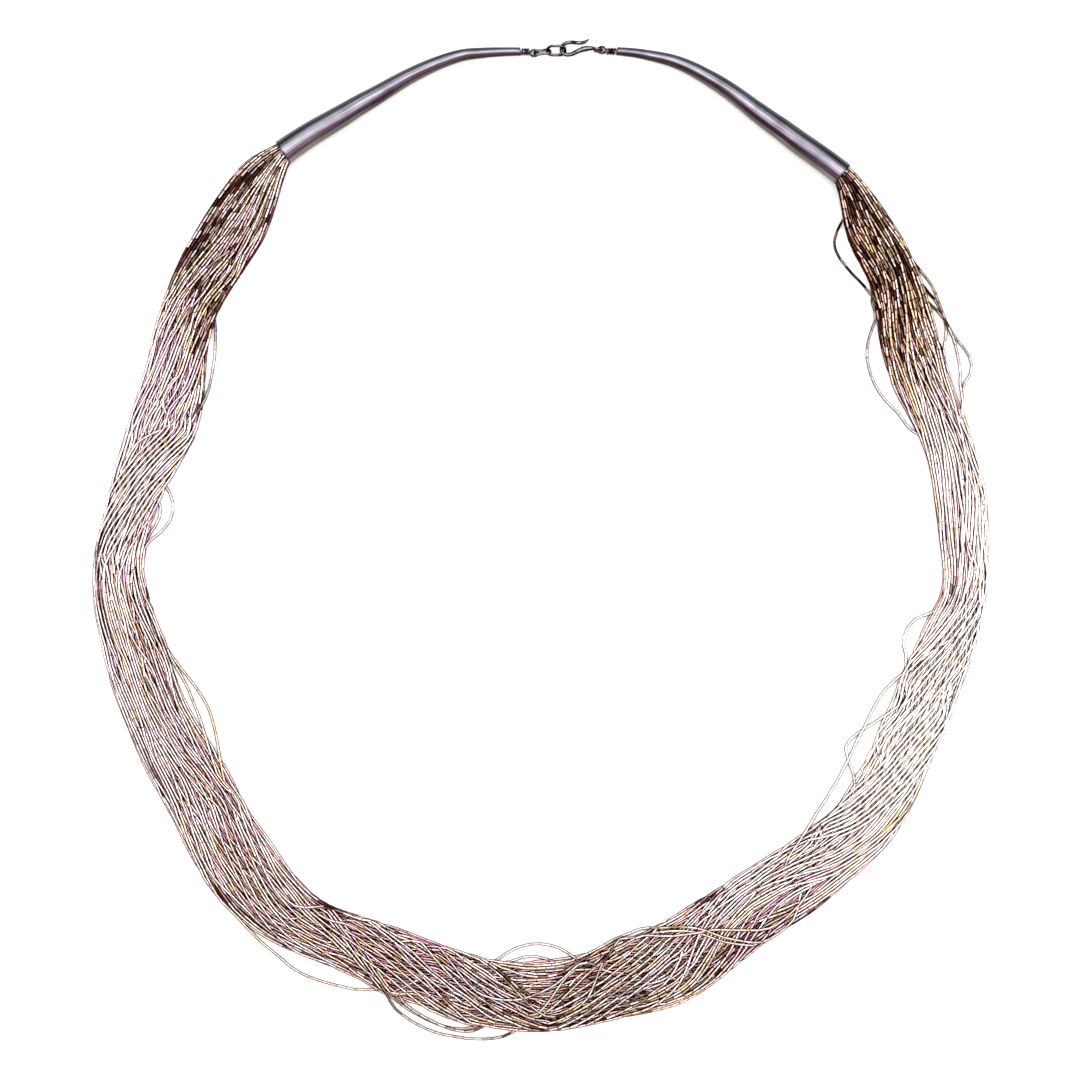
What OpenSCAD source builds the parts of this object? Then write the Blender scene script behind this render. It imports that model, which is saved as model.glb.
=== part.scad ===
/* [Strands] */
// Diameter of one strand of tube beads
strand_d = 0.85; // [0.8:0.05:0.9]
// Number of strands gathered in the cones
strand_count = 48; // [44:1:50]
// Share of the bundle's section that strands fill at the cone mouths
tight_fill = 0.9; // [0.86:0.02:0.94]
// Share of the bundle's section that strands fill where they lie loose
loose_fill = 0.52; // [0.46:0.02:0.6]

/* [Bundle ribs] */
// Number of ribs round the bundle's section
rib_count = 17; // [13:1:18]
// Depth of the groove between two ribs
rib_depth = 0.45; // [0.3:0.05:0.6]
// Angle between two sections of the bundle, seen from the loop's middle
bundle_step = 2.8; // [2.8:0.2:3.6]

/* [Cones] */
// Wall of a cone
cone_wall = 0.4; // [0.3:0.05:0.5]
// Gap between a cone and what it holds
cone_gap = 0.2; // [0.15:0.05:0.3]
// Angle between two sections of a cone, seen from the loop's middle
cone_step = 2.2; // [1.6:0.1:3]

/* [Clasp] */
// Diameter of the wire of the two wrapped eyes
eye_wire_d = 0.7; // [0.56:0.02:0.7]
// Diameter of the small link's wire
small_link_wire_d = 0.75; // [0.6:0.05:0.75]
// Diameter of the oval link's wire
oval_link_wire_d = 0.85; // [0.7:0.05:0.85]
// Diameter of the hook's wire at its bend
hook_wire_d = 1.1; // [0.9:0.05:1.1]

/* [Hidden] */

// Sideways move that puts the middle of the necklace's outline at the origin
centre_shift = [-0.34, -1.55, 0];

// Angles run clockwise from the clasp, seen from above, and radii from the loop's middle.

// Columns of the bundle's table: a row for each pinch and bulge that the bundle lies in
ROW_ANGLE = 0;
ROW_INNER = 1;
ROW_OUTER = 2;
BUNDLE_ROWS = [
    [41, 136.4, 146.0], [43, 131.9, 145.6], [45, 129.6, 144.8], [48, 127.4, 143.2],
    [51, 126.6, 142.2], [54, 124.2, 140.8], [57, 119.0, 139.2], [60, 117.2, 137.4],
    [63, 115.3, 135.8], [66, 115.2, 134.3], [69, 116.1, 133.5], [72, 117.2, 133.2],
    [78, 119.0, 133.8], [84, 118.8, 135.0], [90, 119.8, 134.8], [96, 122.0, 135.2],
    [99, 120.0, 134.7], [102, 116.8, 134.2], [108, 115.1, 134.0], [114, 115.1, 133.5],
    [120, 115.2, 134.6], [126, 117.0, 137.4], [132, 118.9, 138.3], [138, 116.4, 137.1],
    [144, 115.4, 137.5], [150, 115.1, 136.9], [156, 116.1, 141.0], [162, 119.1, 144.6],
    [168, 119.4, 144.6], [174, 122.6, 144.9], [180, 123.8, 146.7], [186, 123.8, 146.6],
    [192, 123.5, 144.6], [198, 122.3, 142.6], [204, 122.4, 141.0], [210, 125.2, 142.2],
    [216, 123.6, 144.9], [222, 119.4, 143.9], [228, 117.8, 140.9], [234, 114.4, 137.1],
    [240, 114.0, 136.2], [246, 115.6, 135.4], [252, 114.1, 135.2], [258, 116.4, 135.0],
    [264, 118.4, 135.1], [267, 119.0, 134.2], [270, 117.3, 132.9], [276, 114.0, 130.0],
    [282, 110.6, 129.4], [288, 107.5, 128.6], [294, 108.8, 129.2], [300, 114.6, 132.8],
    [306, 118.8, 136.4], [312, 120.1, 139.4], [318, 122.6, 142.7], [321, 126.6, 144.4],
    [324, 131.2, 145.2]
];
// Columns: angle, turn of the ribs there. Where the turn grows, the strands on top cross inwards.
SLANT_ROWS = [
    [36, 0], [80, 0], [105, 20], [140, 110], [160, 120], [185, 60], [200, 70],
    [220, 130], [245, 100], [262, 60], [275, 110], [300, 130], [330, 120]
];

// Columns of a cone's table, from its mouth to its small end
CONE_ANGLE = 0;
CONE_AXIS = 1;
CONE_RADIUS = 2;
RIGHT_CONE_ROWS = [
    [39.3, 143.0, 3.7], [33.1, 142.9, 3.6], [27.2, 144.5, 3.15], [21.4, 147.9, 2.6],
    [16.2, 150.3, 2.0], [11.5, 150.2, 1.45], [8.9, 149.6, 1.25]
];
LEFT_CONE_ROWS = [
    [326.8, 139.8, 3.95], [329.1, 140.2, 3.8], [334.8, 140.9, 3.45], [340.4, 143.0, 2.85],
    [345.8, 146.2, 2.3], [350.7, 148.5, 1.85], [355.4, 148.1, 1.4], [357.8, 147.8, 1.27]
];
// How far the bundle reaches into a cone, as an angle seen from the loop's middle
bundle_in_cone = 4;

// Routes of the loose strands, as points on the surface measured from the loop's middle.
// A third number lifts a strand there, to pass over another.
LEFT_UPPER = [
    [-99.5, 72], [-97.6, 68.5], [-97.0, 64.5], [-97.2, 60], [-97.5, 55], [-98.4, 50],
    [-99.6, 45], [-101.5, 41], [-104, 37]
];
LEFT_KNOT = [
    [-115, 21], [-111.8, 17.4], [-110, 13.5], [-109.9, 10], [-110.8, 7], [-113, 4.3],
    [-115.6, 2], [-118.5, 0]
];
LEFT_LOWER = [
    [-113, -29], [-109.2, -34.8], [-104.5, -40.8], [-100.5, -46.5], [-98.2, -52], [-96.7, -58.5],
    [-95.5, -65], [-94.5, -71]
];
BOTTOM_LEFT = [
    [-91.5, -110.5], [-87.5, -115], [-82.9, -119.6], [-77.8, -123.7], [-73.4, -127.4],
    [-66.9, -130.4], [-59.6, -132.4], [-54, -133.6], [-50, -133]
];
BOTTOM_OUTER = [
    [-48.5, -129.5], [-45.8, -134.5], [-43.4, -139], [-38, -143], [-32, -146], [-25.5, -147.5],
    [-19, -148.2], [-13, -148], [-8, -146.3], [-3.5, -142], [0, -137.5]
];
BOTTOM_SECOND = [
    [-42.8, -133.5], [-41, -137], [-37.5, -139.8], [-33, -142.3], [-28.5, -144.4],
    [-23.5, -145.8], [-19.5, -145.8], [-15.5, -143.5], [-12, -139.5]
];
BOTTOM_INNER = [
    [-14.5, -126], [-10, -122.5], [-5.4, -120.4], [-0.5, -119.6], [4.5, -120.4], [9, -122.6],
    [14, -126.5]
];
RIGHT_CROSSING = [
    [132, -21.6], [126.5, -26], [118, -31.7], [112.2, -36.2], [107.4, -39.8], [102.8, -44.6, 0.4],
    [99.9, -49.6, 1.1], [97, -55.4, 1.2], [94.1, -61.2, 1.2], [91.2, -67.2, 1.1],
    [87.6, -73.6, 0.3], [83.3, -80.2], [80, -85.5], [76, -91.5]
];
RIGHT_KINKED = [
    [107.5, -48.5], [104, -50.8], [100.5, -53.4], [97, -55.5], [94.6, -57.2], [92.3, -59.2],
    [91.5, -61], [92.2, -63.5], [93.2, -66.5], [94.5, -70], [94.5, -74]
];
RIGHT_BULGE = [
    [121, -18.8], [117.5, -20.4], [112.4, -22.4], [109.9, -25.9], [109, -30], [110.4, -34.2]
];
RIGHT_UPPER = [
    [94, 101, 0.2], [90.4, 97.2], [88.2, 91.8], [89.2, 87.2], [93, 82.1], [97.2, 77.7],
    [100.5, 73.6], [103.5, 69.5]
];
RIGHT_INNER = [
    [101.5, 68.5], [99.6, 64.5], [98.3, 59.7], [98.3, 55.5], [100, 49.2], [103.3, 43.8],
    [108.5, 38.5]
];
RIGHT_OUTER = [
    [112, 82], [115.8, 76.6], [119, 72.9], [121.7, 67.3], [124, 63], [127.4, 58.9],
    [129.7, 54.5], [129.2, 50.6], [126.4, 47.6], [122.5, 46.5]
];

// The eyes: where the ring sits past the stem, its radius, and how its end climbs to the wraps
eye_ring_at = [1.45, -0.4];
eye_ring_r = 1.05;
eye_ring_lift = 0.2;
eye_stem_inside = 5;
// Turns of wire wrapped round each stem
wrap_turns = 3;
// Radius of the wraps, and length of stem that a turn takes
wrap_r = 0.76;
left_wrap_pitch = 0.76;
right_wrap_pitch = 0.85;
// Where each eye's wraps start outside its cone's tip, and how far its ring leans
left_wrap_start = [-5.28, 147.69, 1.27];
left_eye_tilt = 30;
right_wrap_start = [22.72, 147.8, 1.25];
right_eye_tilt = -30;

// The links: place, tilt and turn, half the length of a straight side, radius of a round end
small_link_at = [0.9, 147.6, 1.25];
small_link_turn = [-45, 0, 6];
small_link_straight = 1.4;
small_link_end_r = 1.0;
oval_link_at = [5.05, 148, 1.53];
oval_link_turn = [42, 0, 0];
oval_link_straight = 1.08;
oval_link_end_r = 1.6;

// The hook's bends from its tip to its eye. Columns: place, and thickness as a share of its wire
HOOK_PLACE = 0;
HOOK_SHARE = 1;
HOOK_ROWS = [
    [[15, 151.7, 0.6], 0.2], [[13.8, 150.8, 0.8], 0.8], [[12, 150.4, 0.95], 1],
    [[9.9, 150.6, 0.9], 1], [[8.2, 150.4, 0.95], 1], [[7, 149.6, 1.15], 1],
    [[6.6, 148.4, 1.45], 1], [[6.9, 147.3, 1.8], 1], [[8, 146.65, 2.0], 1.05],
    [[9.6, 146.8, 1.95], 1.15], [[11.2, 147.6, 1.7], 1.25], [[12.8, 148.3, 1.45], 1.4],
    [[14.4, 148.65, 1.4], 1.4], [[15.9, 148.6, 1.8], 1.1], [[16.8, 148.4, 2.35], 0.8]
];
// The hook's eye: middle, radius, thickness as a share of the wire, and how far it spirals
hook_eye_at = [17.7, 148.3, 1.48];
hook_eye_r = 1.05;
hook_eye_share = 0.76;
hook_eye_lead = 0.4;

strand_r = strand_d / 2;
loose_sides = 8;
// Gap between a loose strand and the bundle that it lies on
loose_gap = 0.25;
// Power of the bundle's rounded flat section: 2 is an ellipse, more is boxier
section_power = 2.5;
// Area of that section over the product of its half width and half height
section_area = 3.4;
// Extra turn that spreads the ribs evenly over the bundle's flat top
rib_spread = 17;
cone_sides = 16;
wire_sides = 6;

mouth_start = RIGHT_CONE_ROWS[0][CONE_ANGLE];
mouth_end = LEFT_CONE_ROWS[0][CONE_ANGLE];
strands_area = strand_count * PI * strand_r * strand_r;

function pairs(rows, key, value) = [for (row = rows) [row[key], row[value]]];
function reversed(list) = [for (i = [len(list) - 1 : -1 : 0]) list[i]];
function unit(v) = v / norm(v);
function signed_power(x, power) = sign(x) * pow(abs(x), power);
function on_loop(angle, radius, z) = [radius * sin(angle), radius * cos(angle), z];
function clock_angle(p) = (atan2(p.x, p.y) + 360) % 360;

RIGHT_AXIS = reversed(pairs(RIGHT_CONE_ROWS, CONE_ANGLE, CONE_AXIS));
RIGHT_RADIUS = reversed(pairs(RIGHT_CONE_ROWS, CONE_ANGLE, CONE_RADIUS));
LEFT_AXIS = pairs(LEFT_CONE_ROWS, CONE_ANGLE, CONE_AXIS);
LEFT_RADIUS = pairs(LEFT_CONE_ROWS, CONE_ANGLE, CONE_RADIUS);
INNER_EDGE = pairs(BUNDLE_ROWS, ROW_ANGLE, ROW_INNER);
OUTER_EDGE = pairs(BUNDLE_ROWS, ROW_ANGLE, ROW_OUTER);

// A table's value at an angle, with its corners softened
function softened(angle, table, reach) =
    (lookup(angle - reach, table) + 2 * lookup(angle, table) + lookup(angle + reach, table)) / 4;

// Bundle: the shape of its section at each angle
function in_cone(a) = a < mouth_start || a > mouth_end;
function held_axis(a) = a < 180 ? softened(a, RIGHT_AXIS, 1) : softened(a, LEFT_AXIS, 1);
function held_outside(a) = a < 180 ? lookup(a, RIGHT_RADIUS) : lookup(a, LEFT_RADIUS);
function held_radius(a) = held_outside(a) - cone_wall - cone_gap;
// 0 at a cone's mouth, growing to 1 where the bundle lies free of it
function freed(a, reach) = min(1, max(0, min(a - mouth_start, mouth_end - a)) / reach);
function eased(x) = x * x * (3 - 2 * x);
function mixed(x, from, to) = from + (to - from) * x;
function mouth_angle(a) = a < 180 ? mouth_start : mouth_end;
function bundle_middle(a) =
    in_cone(a) ? held_axis(a)
    : mixed(eased(freed(a, 4)), held_axis(mouth_angle(a)),
            (softened(a, INNER_EDGE, 2) + softened(a, OUTER_EDGE, 2)) / 2);
function bundle_half_width(a) =
    in_cone(a) ? held_radius(a)
    : mixed(eased(freed(a, 4)), held_radius(mouth_angle(a)),
            (softened(a, OUTER_EDGE, 2) - softened(a, INNER_EDGE, 2)) / 2);
function bundle_fill(a) = mixed(eased(freed(a, 22)), tight_fill, loose_fill);
function bundle_half_height(a) =
    in_cone(a) ? held_radius(a)
    : mixed(eased(freed(a, 3)), held_radius(mouth_angle(a)),
            strands_area / (bundle_fill(a) * section_area * bundle_half_width(a)));
function bundle_floor(a) =
    in_cone(a) ? cone_wall + cone_gap
    : mixed(eased(freed(a, 2.5)), cone_wall + cone_gap, 0);
function bundle_power(a) = mixed(eased(freed(a, 8)), 2, section_power);

function bundle_section(a) =
    let (
        middle = bundle_middle(a),
        half_w = bundle_half_width(a),
        half_h = bundle_half_height(a),
        power = 2 / bundle_power(a),
        turn = softened(a, SLANT_ROWS, 6),
        points = 2 * rib_count
    )
    [for (i = [0 : points - 1])
        let (
            even_turn = 360 * i / points + turn,
            t = even_turn + rib_spread * eased(freed(a, 12)) * sin(2 * even_turn),
            groove = i % 2 == 0 ? 0 : rib_depth,
            x = (half_w - groove) * signed_power(cos(t), power),
            z = (half_h - groove) * signed_power(sin(t), power)
        )
        on_loop(a, middle + x, bundle_floor(a) + half_h + z)
    ];

// Lowest height at which a loose strand's centre clears the bundle at a point
function draped_height(p) =
    let (
        a = clock_angle(p),
        clear = strand_r + loose_gap,
        half_w = bundle_half_width(a) + clear,
        half_h = bundle_half_height(a),
        x = abs(norm([p.x, p.y]) - bundle_middle(a)) / half_w,
        power = section_power
    )
    x >= 1 ? strand_r
    : max(strand_r, bundle_floor(a) + half_h + (half_h + clear) * pow(1 - pow(x, power), 1 / power));

// A smooth curve through hand-chosen points, with pieces points between each two
function blend(a, b, c, d, t) =
    0.5 * (2 * b + (c - a) * t + (2 * a - 5 * b + 4 * c - d) * t * t
           + (3 * b - a - 3 * c + d) * t * t * t);
function smooth_route(points, pieces) =
    let (last = len(points) - 1)
    concat(
        [for (i = [0 : last - 1], k = [0 : pieces - 1])
            blend(points[max(0, i - 1)], points[i], points[i + 1], points[min(last, i + 2)],
                  k / pieces)],
        [points[last]]
    );

// Heights eased into a long low hump, never lower than they were
function hump(z, passes) =
    passes == 0 ? z
    : hump(
        [for (i = [0 : len(z) - 1])
            max(z[i], (z[max(0, i - 1)] + z[min(len(z) - 1, i + 1)]) / 2)],
        passes - 1
    );
function draped(route) =
    let (z = hump([for (p = route) draped_height(p) + max(0, p.z)], 3))
    [for (i = [0 : len(route) - 1]) [route[i].x, route[i].y, z[i]]];

// Sweeping: rings of points carried along a path, then skinned
function tangent(path, i, closed) =
    let (n = len(path))
    closed ? unit(path[(i + 1) % n] - path[(i + n - 1) % n])
    : unit(path[min(i + 1, n - 1)] - path[max(i - 1, 0)]);
function squared(v, t) = unit(v - (v * t) * t);
function side_vectors(path, start, closed) =
    [for (
        i = 0, v = squared(start, tangent(path, 0, closed));
        i < len(path);
        i = i + 1, v = i < len(path) ? squared(v, tangent(path, i, closed)) : v
    ) v];
function swept_rings(path, radii, sides, start, closed) =
    let (sidewards = side_vectors(path, start, closed))
    [for (i = [0 : len(path) - 1])
        let (
            u = sidewards[i],
            v = cross(tangent(path, i, closed), u)
        )
        [for (k = [0 : sides - 1])
            path[i] + radii[i] * (cos(360 * k / sides) * u + sin(360 * k / sides) * v)]
    ];

module skin(rings, closed) {
    sides = len(rings[0]);
    count = len(rings);
    points = [for (ring = rings) each ring];
    walls = [
        for (i = [0 : closed ? count - 1 : count - 2], k = [0 : sides - 1])
            let (
                next = (i + 1) % count,
                turn = (k + 1) % sides
            )
            [i * sides + turn, i * sides + k, next * sides + k, next * sides + turn]
    ];
    ends = closed ? [] : [
        [for (k = [0 : sides - 1]) k],
        reversed([for (k = [0 : sides - 1]) (count - 1) * sides + k])
    ];
    polyhedron(points, concat(walls, ends), convexity = 8);
}

module wire(path, radius, sides, start, closed) {
    skin(swept_rings(path, [for (p = path) radius], sides, start, closed), closed);
}

module placed() {
    translate(centre_shift) children();
}

module strand_bundle() {
    count = ceil((mouth_end - mouth_start) / bundle_step);
    angles = concat(
        [mouth_start - bundle_in_cone, mouth_start - bundle_in_cone / 2],
        [for (i = [0 : count]) mouth_start + (mouth_end - mouth_start) * i / count],
        [mouth_end + bundle_in_cone / 2, mouth_end + bundle_in_cone]
    );
    color("#c9b0a6") placed() skin([for (a = angles) bundle_section(a)], false);
}

module loose_strand(points) {
    route = smooth_route([for (p = points) [p[0], p[1], len(p) > 2 ? p[2] : 0]], 2);
    color("#d8c4bc") placed() wire(draped(route), strand_r, loose_sides, [0, 0, 1], false);
}

// One section of a cone's outside or bore: a circle standing on the surface
function cone_ring(a, axis, radius, height) =
    [for (k = [0 : cone_sides - 1])
        let (t = 360 * k / cone_sides)
        on_loop(a, axis + radius * cos(t), height + radius * sin(t))
    ];

// A hollow cone between its table's first and last angle, closed to a wire hole at its tip
module cone(axis_table, radius_table, tip) {
    first = axis_table[0][0];
    last = axis_table[len(axis_table) - 1][0];
    count = round((last - first) / cone_step);
    angles = [for (i = [0 : count]) first + (last - first) * i / count];
    wire_hole = eye_wire_d / 2 + cone_gap;
    outside = [for (a = angles)
        let (radius = lookup(a, radius_table))
        cone_ring(a, softened(a, axis_table, 1), radius, radius)];
    bore = [for (a = angles)
        let (
            radius = lookup(a, radius_table),
            bored = a == tip ? wire_hole : radius - cone_wall
        )
        cone_ring(a, softened(a, axis_table, 1), bored, radius)];
    color("#c6c2cc") placed() skin(concat(outside, reversed(bore)), true);
}

module left_cone() {
    cone(LEFT_AXIS, LEFT_RADIUS, LEFT_CONE_ROWS[len(LEFT_CONE_ROWS) - 1][CONE_ANGLE]);
}

module right_cone() {
    cone(RIGHT_AXIS, RIGHT_RADIUS, RIGHT_CONE_ROWS[len(RIGHT_CONE_ROWS) - 1][CONE_ANGLE]);
}

// A wire eye: a straight stem along X, a flat ring beyond it, then turns wrapped round the stem
function eye_ring_point(a) =
    [
        eye_ring_at.x + eye_ring_r * cos(a),
        eye_ring_at.y + eye_ring_r * sin(a),
        eye_ring_lift * eased(max(0, -90 - a) / 50)
    ];
function eye_route(pitch) =
    let (wrap_length = pitch * wrap_turns)
    concat(
        [[-wrap_length - eye_stem_inside, 0, 0], [-wrap_length, 0, 0], [-wrap_length / 2, 0, 0],
         [0, 0, 0]],
        [for (a = [160 : -20 : -140]) eye_ring_point(a)],
        [for (a = [150 : -30 : 150 - 360 * wrap_turns])
            [(a - 150) / 360 * pitch, wrap_r * cos(a), wrap_r * sin(a)]]
    );
module wrapped_eye(pitch) {
    wire(eye_route(pitch), eye_wire_d / 2, wire_sides, [0, 0, 1], false);
}

module left_eye() {
    color("#8f8a90") placed()
        translate(left_wrap_start + [left_wrap_pitch * wrap_turns, 0, 0])
        rotate([left_eye_tilt, 0, 0]) wrapped_eye(left_wrap_pitch);
}

module right_eye() {
    color("#8f8a90") placed()
        translate(right_wrap_start - [right_wrap_pitch * wrap_turns, 0, 0])
        rotate([0, 0, 180]) rotate([right_eye_tilt, 0, 0]) wrapped_eye(right_wrap_pitch);
}

// An oval link along X: two straight sides and two round ends
function link_route(half_straight, end_r) =
    concat(
        [for (a = [-90 : 20 : 90]) [half_straight + end_r * cos(a), end_r * sin(a), 0]],
        [for (a = [90 : 20 : 270]) [-half_straight + end_r * cos(a), end_r * sin(a), 0]]
    );

module link(at, turn, route, wire_d) {
    color("#8f8a90") placed()
        translate(at) rotate(turn) wire(route, wire_d / 2, wire_sides, [0, 0, 1], true);
}

module small_link() {
    link(small_link_at, small_link_turn, link_route(small_link_straight, small_link_end_r),
         small_link_wire_d);
}

module oval_link() {
    link(oval_link_at, oval_link_turn, link_route(oval_link_straight, oval_link_end_r),
         oval_link_wire_d);
}

module hook() {
    eye_rows = [for (a = [90 : -22.5 : -170])
        [
            hook_eye_at + [hook_eye_r * cos(a), -hook_eye_lead * (90 - a) / 260,
                           hook_eye_r * sin(a)],
            hook_eye_share
        ]];
    rows = concat(HOOK_ROWS, eye_rows);
    path = smooth_route([for (row = rows) row[HOOK_PLACE]], 2);
    shares = smooth_route([for (row = rows) row[HOOK_SHARE]], 2);
    radii = [for (share = shares) share * hook_wire_d / 2];
    color("#77727a") placed() skin(swept_rings(path, radii, wire_sides, [0, 0, 1], false), false);
}

strand_bundle();
left_cone();
right_cone();
left_eye();
right_eye();
small_link();
oval_link();
hook();
loose_strand(LEFT_UPPER);  // loose_strand_left_upper
loose_strand(LEFT_KNOT);  // loose_strand_left_knot
loose_strand(LEFT_LOWER);  // loose_strand_left_lower
loose_strand(BOTTOM_LEFT);  // loose_strand_bottom_left
loose_strand(BOTTOM_OUTER);  // loose_strand_bottom_outer
loose_strand(BOTTOM_SECOND);  // loose_strand_bottom_second
loose_strand(BOTTOM_INNER);  // loose_strand_bottom_inner
loose_strand(RIGHT_CROSSING);  // loose_strand_right_crossing
loose_strand(RIGHT_KINKED);  // loose_strand_right_kinked
loose_strand(RIGHT_BULGE);  // loose_strand_right_bulge
loose_strand(RIGHT_UPPER);  // loose_strand_right_upper
loose_strand(RIGHT_INNER);  // loose_strand_right_inner
loose_strand(RIGHT_OUTER);  // loose_strand_right_outer
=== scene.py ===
"""A necklace of many strands of fine silver tube beads, in silver cones with a hook clasp."""

import math

import bpy
import numpy as np
from mathutils import Matrix, Vector


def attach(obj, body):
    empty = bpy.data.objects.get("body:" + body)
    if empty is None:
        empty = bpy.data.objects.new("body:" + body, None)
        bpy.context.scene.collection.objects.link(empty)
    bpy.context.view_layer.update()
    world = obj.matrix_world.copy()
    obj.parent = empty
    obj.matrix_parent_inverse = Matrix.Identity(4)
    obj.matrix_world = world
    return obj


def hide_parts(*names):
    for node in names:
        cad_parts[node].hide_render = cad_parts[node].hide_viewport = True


bl_info = {
    "name": "Multi-strand silver necklace",
    "version": (1, 0, 0),
    "blender": (4, 5, 0),
    "location": "3D View > Sidebar > Necklace",
    "description": "Strings the bead strands and makes the cones, eyes, links, hook and stage",
    "category": "Object",
}

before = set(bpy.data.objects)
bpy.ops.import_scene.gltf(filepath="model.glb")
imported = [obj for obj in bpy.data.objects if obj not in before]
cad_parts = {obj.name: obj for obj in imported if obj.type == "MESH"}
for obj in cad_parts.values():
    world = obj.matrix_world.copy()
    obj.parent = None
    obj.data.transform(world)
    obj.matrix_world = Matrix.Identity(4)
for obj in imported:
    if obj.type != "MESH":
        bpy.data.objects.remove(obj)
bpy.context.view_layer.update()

MM = 0.001
IMAGE_PIXELS = 1080
MM_PER_PIXEL = 0.3
SEED = 916

# The loop's middle in mm, which angles, distances and routes are measured from. Angles run clockwise
# from the clasp, seen from above, in degrees.
MIDDLE = np.array([-0.34, -1.55, 0])
# The angle between two points of a strand, and how far the strands run into each cone.
SECTION_ANGLE = 0.5
HELD_ANGLE = 4.0
# Groups of strands that wander together.
GROUPS = 13
# How hard a settling strand keeps to its route: in the bundle, crossing over it, and leaving it.
BUNDLE_PULL = 0.05
CROSSING_PULL = 0.25
STRAY_PULL = 0.5
# Over how many degrees a strand eases into a crossing, and into a route of its own.
CROSSING_BLEND = 4
STRAY_BLEND = 5
# How far above the bundle a crossing strand starts to fall, in mm.
DROP = 2.5
# A bead's rounded end: its length in mm, and the end's size as a share of the bead's.
END_LENGTH = 0.05
END_SHARE = 0.86
# The share of a bead's length that the tarnish round a joint reaches at most.
JOINT_SHARE = 0.18

# Turn of the bundle about its own length at each angle. Where it grows, top strands cross inwards.
TWIST_ROWS = [
    (36, 0), (60, 0), (80, 20), (97, 50), (112, 110), (134, 200), (150, 230), (178, 110), (190, 170),
    (212, 270), (230, 300), (245, 290), (262, 280), (272, 300), (290, 380), (311, 450), (325, 460),
]

# Groups that cross over the bundle: the angle and the place across it (0 inner edge, 1 outer edge)
# where the crossing starts and where it ends, how many strands, and how far apart in mm.
CROSSING_ROWS = [
    (44, 0.55, 60, 0.25, 2, 2.4), (57, 0.35, 76, 0.1, 6, 1.6), (60, 0.5, 84, 0.95, 3, 2),
    (94, 0.9, 110, 0.1, 5, 1.6), (101, 0.95, 119, 0.2, 5, 1.8), (114, 0.9, 134, 0.1, 9, 1.3),
    (163, 0.25, 178, 0.9, 7, 1.9), (179, 0.85, 193, 0.2, 6, 1.9), (188.7, 0.95, 203.4, 0, 1, 1),
    (187, 0.7, 196.4, 0.05, 1, 1), (190, 0.85, 206, 0.25, 6, 2), (198.7, 1, 210.3, 0.05, 4, 1),
    (209, 0.7, 229.6, 0.2, 6, 2.2), (228, 0.2, 246, 0.45, 2, 3), (270, 0.9, 287, 0.1, 11, 1.4),
    (288, 0.72, 311, 0.12, 8, 1.8),
]

# How tarnished the strands are at each angle, on the bundle's inner and outer edge: 0 is bright and
# pale, 1 is dark.
TARNISH_ROWS = [
    (36, 1.05, 1.0), (48, 1.1, 1.0), (58, 1.0, 1.0), (68, 0.75, 0.75), (78, 0.65, 0.35),
    (90, 0.8, 0.2), (104, 0.35, 0.1), (120, 0.1, 0.1), (136, 0.45, 0.6), (150, 0.6, 0.85),
    (172, 0.8, 0.95), (186, 0.75, 0.9), (205, 0.75, 0.8), (230, 0.7, 0.7), (255, 0.75, 0.65),
    (280, 0.6, 0.35), (293, 0.75, 0.5), (305, 0.95, 0.85), (316, 0.8, 1.05), (330, 0.85, 0.95),
]

# Long dark patches of painted shade, with some tarnish, in the slits and hollows mostly along the
# edges: angle, distance, half the length in degrees and half the width in mm.
DARK_ROWS = [
    (137.2, 118.2, 2.5, 0.8), (142.4, 137, 2.5, 0.8), (154, 117.2, 3, 0.8), (208.8, 125.5, 2.5, 0.9),
    (218.6, 141.6, 6, 0.8), (239.8, 134, 4, 0.9), (252.5, 116, 4, 1.0), (259.5, 118.1, 4, 1.0),
    (265.5, 132.7, 6, 0.8), (291.7, 109.5, 5, 0.9), (303, 117.8, 4, 1.0), (309, 136.6, 4.5, 1.2),
    (318.5, 140.4, 5, 1.3), (320.4, 126.3, 3, 0.9), (57, 112, 3.5, 1.6), (94.5, 124.9, 3.5, 1.4),
    (105.3, 115.8, 2.5, 0.8), (108.5, 132, 3, 0.7), (123.5, 135.8, 5, 0.8), (125.5, 116.6, 2, 1.0),
]

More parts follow.
